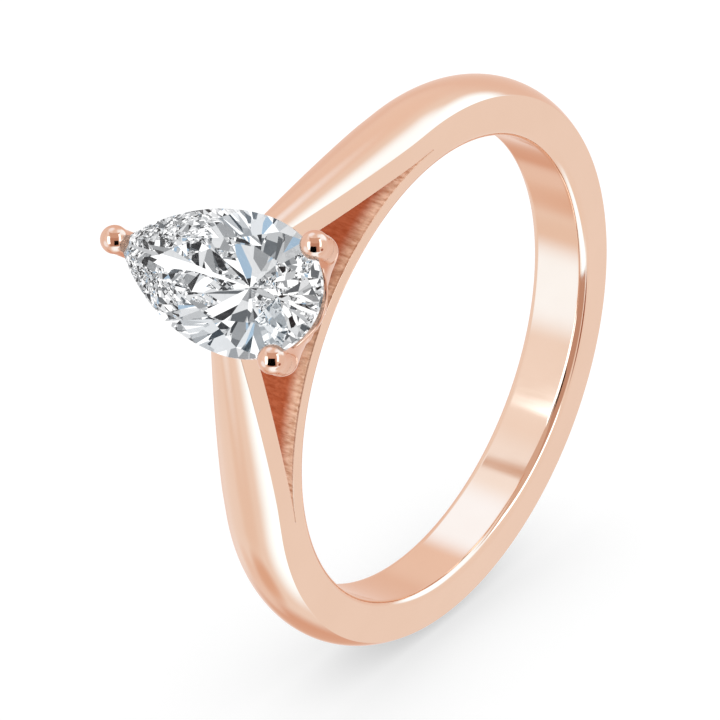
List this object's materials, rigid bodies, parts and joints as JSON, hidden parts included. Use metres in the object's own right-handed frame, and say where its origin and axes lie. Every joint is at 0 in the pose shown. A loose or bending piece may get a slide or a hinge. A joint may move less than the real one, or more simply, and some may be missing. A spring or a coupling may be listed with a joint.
{
  "type": "engagement ring",
  "caption": "Engagement ring with cathedral shoulders, a domed band and a pear-cut stone in a round-beaded claw head.",
  "frame": {"origin": "centre of the finger hole, halfway across the band", "axes": "+Y along the finger, towards the point of the stone; +Z from the finger up to the stone; +X to the right seen from the stone's round end"},
  "size_m": [0.0202, 0.0082, 0.0246],
  "materials": {
    "rose_gold": "high polish, with a rough cast surface inside the shoulder openings",
    "diamond": "clear polished facets"
  },
  "bodies": {
    "root": {"shank": "rose_gold", "finger_rail": "rose_gold", "shoulder_left": "rose_gold", "shoulder_right": "rose_gold", "head_base": "rose_gold", "gallery_rail": "rose_gold", "claw_point": "rose_gold", "claw_left": "rose_gold", "claw_right": "rose_gold", "diamond": "diamond"}
  },
  "joints": []
}
